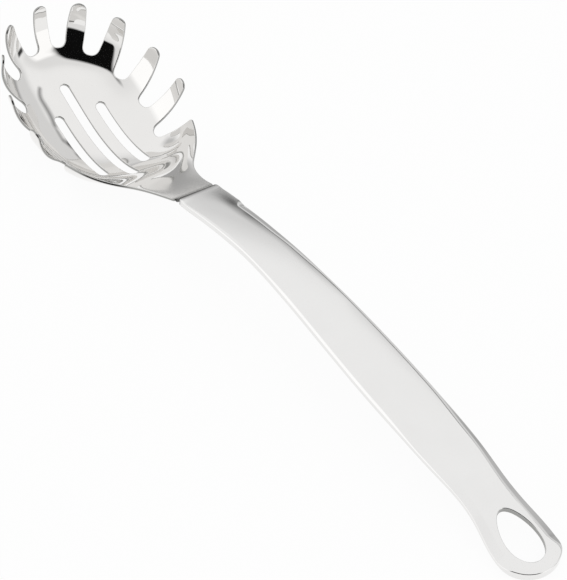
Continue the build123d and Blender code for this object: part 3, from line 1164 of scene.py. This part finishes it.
def steel(name, dark, light, roughness, scales, bump):
    """A polished steel: metal with a haze, a faint tone and fine scratches."""
    material = bpy.data.materials.new(name)
    material.use_nodes = True
    tree = material.node_tree

    def mixed(kind, factor, a, b):
        """A value or a colour mixed by a mask."""
        ends = {"Factor": factor, "A": a, "B": b}
        return node(tree, "ShaderNodeMix", ends, data_type=kind).outputs["Result"]

    marks = node(tree, "ShaderNodeGroup", {
        "Scratch Scale": scales[0], "Haze Scale": scales[1],
        "Low Roughness": roughness[0], "High Roughness": roughness[1],
        "Seam Place": seam_place, "Dressed Reach": dressed_reach, "Tint Reach": crease_shade_reach,
    }, node_tree=polish_and_crease_shade).outputs
    cut = node(tree, "ShaderNodeAttribute", attribute_name="edge_dulling_and_painted_shade").outputs["Fac"]
    tone = mixed("RGBA", marks["Tone"], (*dark, 1.0), (*light, 1.0))
    # Painted shade: the crease at the weld is darkened in the base colour
    tone = mixed("RGBA", marks["Tint"], tone, (*crease_shade_tone, 1.0))
    # Painted shade: the cut edges are darkened in the base colour, and they are rougher as well
    tone = mixed("RGBA", cut, tone, (*painted_edge_shade_tone, 1.0))
    dull = mixed("FLOAT", marks["Dressed"], marks["Roughness"], dressed_roughness)
    dull = mixed("FLOAT", cut, dull, sheared_roughness)
    scratches = {"Strength": bump[0], "Distance": bump[1], "Height": marks["Height"]}
    normal = node(tree, "ShaderNodeBump", scratches).outputs[0]
    shader = tree.nodes["Principled BSDF"].inputs
    shader["Metallic"].default_value = 1.0
    for socket, value in (("Base Color", tone), ("Roughness", dull), ("Normal", normal)):
        tree.links.new(value, shader[socket])
    return material


mirror_steel = steel(
    "mirror_steel", (0.827, 0.818, 0.804), (0.867, 0.858, 0.844),
    roughness=(0.02, 0.06), scales=(1400.0, 70.0), bump=(0.03, 0.00002),
)
handle_steel = steel(
    "handle_steel", (0.823, 0.818, 0.810), (0.863, 0.858, 0.850),
    roughness=(0.04, 0.09), scales=(1400.0, 70.0), bump=(0.04, 0.00002),
)
# The weld is rough steel, and its base colour is kept dark as painted shade, so the crease at the
# weld reads as a dark line
weld_steel = steel(
    "weld_steel", (0.12, 0.12, 0.12), (0.24, 0.24, 0.23),
    roughness=(0.16, 0.30), scales=(900.0, 200.0), bump=(0.10, 0.00003),
)
head.data.materials.append(mirror_steel)
handle.data.materials.append(handle_steel)
print("nodes in each steel", len(mirror_steel.node_tree.nodes))


# %% Weld piece
end_grip = 0.8
least_reach = 1e-9

# The path's own frame turns the section: its X runs along the tool, its Y runs down
section_mesh = bpy.data.meshes.new("weld_section")
section_points = [(x * MM, -z * MM, 0.0) for x, z in weld_outline]
count = len(section_points)
section_mesh.from_pydata(section_points, [(i, (i + 1) % count) for i in range(count)], [])
section = placed("weld_section", section_mesh)
bead_tree = build_bead_tree(weld_steel)
modifier = section.modifiers.new("bead", "NODES")
modifier.node_group = bead_tree
bead_sizes = {
    "Half Width": weld_half_width * MM, "Ripple Pitch": ripple_pitch,
    "Ripple Depth": ripple_depth, "Seed": bead_seed,
}
for item in bead_tree.interface.items_tree:
    if item.name in bead_sizes:
        modifier[item.identifier] = bead_sizes[item.name]
graph = bpy.context.evaluated_depsgraph_get()
weld_mesh = bpy.data.meshes.new_from_object(section.evaluated_get(graph))
weld_mesh.name = "neck_weld_bead"
bpy.data.objects.remove(section)

# Both ends of the bead shrink towards its middle, so they are round
bead = np.array([v.co for v in weld_mesh.vertices])
past = (np.abs(bead[:, 1]) / MM - weld_half_width) / bead_end_round + 1.0
shrink = bead_end_round * (1.0 - np.sqrt(1.0 - np.clip(past, 0.0, 1.0) ** 2))
inward = bead[:, [0, 2]].mean(axis=0) - bead[:, [0, 2]]
reach = np.maximum(np.hypot(*inward.T), least_reach)
move = inward * (np.minimum(shrink * MM, end_grip * reach) / reach)[:, None]
for vertex, (x, z) in zip(weld_mesh.vertices, move):
    vertex.co.x += x
    vertex.co.z += z
weld = placed("neck_weld_bead", weld_mesh)
corners = np.array([v.co for v in weld_mesh.vertices])
print("weld", len(weld_mesh.polygons), "faces", corners.min(0).round(5), corners.max(0).round(5))


# %% [markdown]
# Each piece stands for its CAD node, which is hidden, and rides on the one rigid body.

# %% Riding and replacing
for piece, cad_node, finish_slot in (
    (head, "head", "polished_steel"),
    (handle, "handle", "polished_steel"),
    (weld, "neck_weld", "weld_steel"),
):
    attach(piece, "root")
    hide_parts(cad_node)


# %% [markdown]
# A mirror shows only what stands round it. The studio is a pale floor under an even
# white tent, with pale, grey and dark panels in it. The largest one is black and
# stands behind the camera: it draws the black shapes on the tines that face it. The
# panels are made in the world, by direction, so they stay where they are when the
# camera moves, and the camera itself sees plain white. A reflection of a reflection
# meets lighter panels, as polished steel spreads the light a little each time. The
# floor is white to the camera and keeps a soft shadow.

# %% Floor
floor_reach = 3.0
floor_tone = (0.86, 0.86, 0.86, 1.0)
floor_glow_share = 0.93


def pale_floor():
    """White to the camera and to mirrors, and a matt floor to all other light."""
    material = bpy.data.materials.new("pale_floor")
    material.use_nodes = True
    tree = material.node_tree
    tree.nodes.clear()
    matt = node(tree, "ShaderNodeBsdfDiffuse", {"Color": floor_tone}).outputs[0]
    glow = node(tree, "ShaderNodeEmission", {"Strength": 1.0}).outputs[0]
    path = node(tree, "ShaderNodeLightPath").outputs
    seen = calculate(tree, "MAXIMUM", path["Is Camera Ray"], path["Is Glossy Ray"])
    share = calculate(tree, "MULTIPLY", seen, floor_glow_share)
    mix = node(tree, "ShaderNodeMixShader", {0: share, 1: matt, 2: glow}).outputs[0]
    node(tree, "ShaderNodeOutputMaterial", {0: mix})
    return material


floor_mesh = bpy.data.meshes.new("studio_floor")
floor_sides = ((-1, -1), (1, -1), (1, 1), (-1, 1))
floor_corners = [(x * floor_reach, y * floor_reach, 0.0) for x, y in floor_sides]
floor_mesh.from_pydata(floor_corners, [], [(0, 1, 2, 3)])
floor_mesh.materials.append(pale_floor())
floor = placed("studio_floor", floor_mesh)
print("floor", 2.0 * floor_reach, "metres wide")


# %% Studio panels
tent_white = 0.965
# Each panel: its light, its light in deeper reflections, its corners as azimuth and
# elevation, and the softness of its sides, in degrees
panels = {
    "dim_ceiling": (
        0.83, 0.90,
        [(-90, 15), (-95, 75), (-25, 86), (60, 70), (60, 20), (10, -10), (-50, 0)], 14.0),
    "left_lamp": (1.17, 0.90, [(-150, -5), (-148, 40), (-86, 44), (-86, -5)], 10.0),
    "right_lamp": (1.16, 0.90, [(19, -8), (22, 44), (46, 40), (46, -8)], 5.0),
    "far_wall": (0.74, 0.80, [(64, -10), (68, 38), (110, 44), (165, 36), (165, -10)], 12.0),
    "near_left_grey": (0.58, 0.70, [(-178, 18), (-178, 32), (-163, 30), (-163, 16)], 8.0),
    "far_low_left_grey": (0.40, 0.70, [(84, -12), (84, 11), (113, 11), (113, -12)], 7.0),
    "far_low_right_grey": (0.46, 0.70, [(110, -12), (110, 11), (143, 10), (143, -12)], 7.0),
    "far_rail_left": (0.34, 0.60, [(87, 49.5), (101, 40), (102, 43.5), (88.5, 52)], 2.5),
    "far_rail_joint": (0.45, 0.60, [(101, 40), (112, 38), (112, 41.5), (102, 43.5)], 2.5),
    "far_rail_middle": (0.10, 0.50, [(111, 40), (124, 40), (122, 47), (111, 47)], 4.0),
    "far_rail_right": (0.06, 0.50, [(121, 38), (140, 21), (143, 24), (124, 45)], 4.0),
    "far_rail_end": (0.10, 0.50, [(140, 21), (143, 24), (147, 17), (143, 13)], 3.0),
    "far_right_grey": (0.40, 0.60, [(144, -8), (143, 15), (163, 17), (164, -8)], 10.0),
    "small_stand": (0.05, 0.60, [(50, 4), (50, 12), (62, 12), (62, 4)], 4.0),
    "behind_camera": (
        0.004, 0.85,
        [(-72.7, 16.1), (-75.1, 21.0), (-81.8, 68.2), (-25, 77.1),
         (38.3, 55.6), (37.1, 46.4), (31.1, 31.4), (11.4, 3.5)],
        (2.5, 2.5, 2.0, 4.0, 4.0, 4.0, 3.0, 3.5)),
}
world = bpy.data.worlds.new("studio")
bpy.context.scene.world = world
world.use_nodes = True
tree = world.node_tree
tree.nodes.clear()
print("studio panels", len(panels))


# %% World
def direction(azimuth, elevation):
    """Direction from two angles in degrees."""
    azimuth, elevation = math.radians(azimuth), math.radians(elevation)
    flat = math.cos(elevation)
    return Vector((flat * math.cos(azimuth), flat * math.sin(azimuth), math.sin(elevation)))


def panel_mask(way, corners, softness):
    """One inside a panel seen from the middle of the studio, with soft sides."""
    rays = [direction(*corner) for corner in corners]
    middle = sum(rays, Vector((0.0, 0.0, 0.0)))
    if isinstance(softness, float):
        softness = [softness] * len(rays)
    mask = 1.0
    for ray, after, soft in zip(rays, rays[1:] + rays[:1], softness):
        side = ray.cross(after).normalized()
        side *= math.copysign(1.0, side.dot(middle)) / math.sin(math.radians(soft))
        reach = node(tree, "ShaderNodeVectorMath", {0: way, 1: side}, operation="DOT_PRODUCT")
        inside = calculate(tree, "ADD", reach.outputs["Value"], 0.5, clamp=True)
        mask = calculate(tree, "MULTIPLY", inside, mask)
    return mask


way = node(tree, "ShaderNodeTexCoord").outputs["Generated"]
path = node(tree, "ShaderNodeLightPath").outputs
# Ray Depth is two where the light is met after one reflection
one_reflection = 2.5
deeper = calculate(tree, "GREATER_THAN", path["Ray Depth"], one_reflection)
light = tent_white
for first_light, deeper_light, corners, softness in panels.values():
    mask = panel_mask(way, corners, softness)
    level = calculate(tree, "MULTIPLY", deeper, deeper_light - first_light)
    level = calculate(tree, "ADD", first_light, level)
    change = calculate(tree, "MULTIPLY", mask, calculate(tree, "SUBTRACT", level, light))
    light = calculate(tree, "ADD", light, change)
# Plain white to the camera, the panels to mirrors, and the even tent to all the rest
light = calculate(tree, "MAXIMUM", light, path["Is Camera Ray"])
seen = calculate(tree, "MAXIMUM", path["Is Glossy Ray"], path["Is Camera Ray"])
light = calculate(tree, "MULTIPLY", seen, calculate(tree, "SUBTRACT", light, tent_white))
light = calculate(tree, "ADD", light, tent_white)
white = {"Color": (1.0, 1.0, 1.0, 1.0), "Strength": light}
background = node(tree, "ShaderNodeBackground", white).outputs[0]
node(tree, "ShaderNodeOutputWorld", {0: background})
bpy.context.scene.view_settings.view_transform = "Standard"
print("world nodes", len(tree.nodes))


# %% Final update
bpy.context.view_layer.update()
